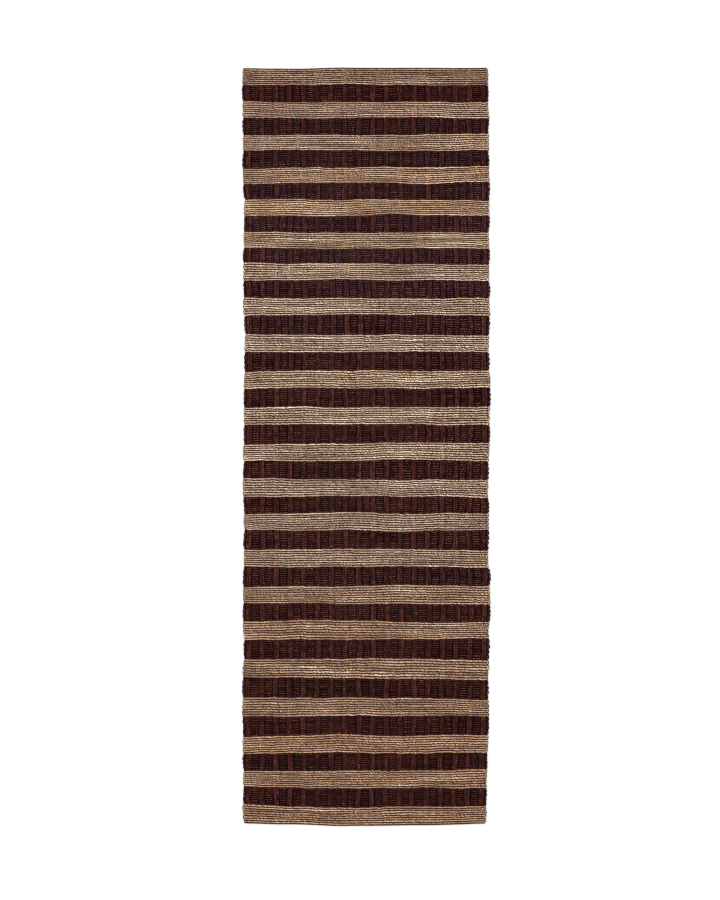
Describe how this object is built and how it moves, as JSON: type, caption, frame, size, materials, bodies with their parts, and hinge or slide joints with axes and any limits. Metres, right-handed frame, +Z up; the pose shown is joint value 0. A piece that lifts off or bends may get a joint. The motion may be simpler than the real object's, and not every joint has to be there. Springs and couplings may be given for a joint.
{
  "type": "runner rug",
  "caption": "Long flat-woven runner rug: natural and dark bands run across it, and narrow rust-brown warp columns show on the dark bands. Lies flat on a floor.",
  "frame": {"origin": "on the floor, under the middle of the rug", "axes": "+Y along the rug towards its start, +X across it from selvedge to selvedge, +Z up out of the face side"},
  "size_m": [0.804, 2.4846, 0.0092],
  "materials": {
    "natural_jute": "matt undyed two-ply jute cord with tan, grey and golden streaks",
    "dark_jute": "matt aubergine-brown dyed jute cord",
    "rust_cord": "matt rust-brown dyed warp cord, loosely twisted",
    "black_cotton": "thin matt brown-black cotton warp",
    "brown_cotton": "thin matt dark-brown cotton thread"
  },
  "bodies": {
    "root": {"dark_cord_01": "dark_jute", "dark_cord_02": "dark_jute", "dark_cord_03": "dark_jute", "dark_cord_04": "dark_jute", "dark_cord_05": "dark_jute", "dark_cord_06": "dark_jute", "dark_cord_07": "dark_jute", "dark_cord_08": "dark_jute", "dark_cord_09": "dark_jute", "dark_cord_10": "dark_jute", "dark_cord_11": "dark_jute", "dark_cord_12": "dark_jute", "dark_cord_13": "dark_jute", "dark_cord_14": "dark_jute", "dark_cord_15": "dark_jute", "dark_cord_16": "dark_jute", "dark_cord_17": "dark_jute", "dark_cord_18": "dark_jute", "dark_cord_19": "dark_jute", "dark_cord_20": "dark_jute", "dark_cord_21": "dark_jute", "natural_cord_01": "natural_jute", "natural_cord_02": "natural_jute", "natural_cord_03": "natural_jute", "natural_cord_04": "natural_jute", "natural_cord_05": "natural_jute", "natural_cord_06": "natural_jute", "natural_cord_07": "natural_jute", "natural_cord_08": "natural_jute", "natural_cord_09": "natural_jute", "natural_cord_10": "natural_jute", "natural_cord_11": "natural_jute", "natural_cord_12": "natural_jute", "natural_cord_13": "natural_jute", "natural_cord_14": "natural_jute", "natural_cord_15": "natural_jute", "natural_cord_16": "natural_jute", "natural_cord_17": "natural_jute", "natural_cord_18": "natural_jute", "natural_cord_19": "natural_jute", "natural_cord_20": "natural_jute", "natural_cord_21": "natural_jute", "natural_cord_22": "natural_jute", "rust_warps_left": "rust_cord", "rust_warps_right": "rust_cord", "binder_warps": "black_cotton", "selvedge_warp_left": "black_cotton", "selvedge_warp_right": "black_cotton", "ridge_threads": "brown_cotton", "end_cord_start": "brown_cotton", "end_cord_finish": "brown_cotton"}
  },
  "joints": []
}
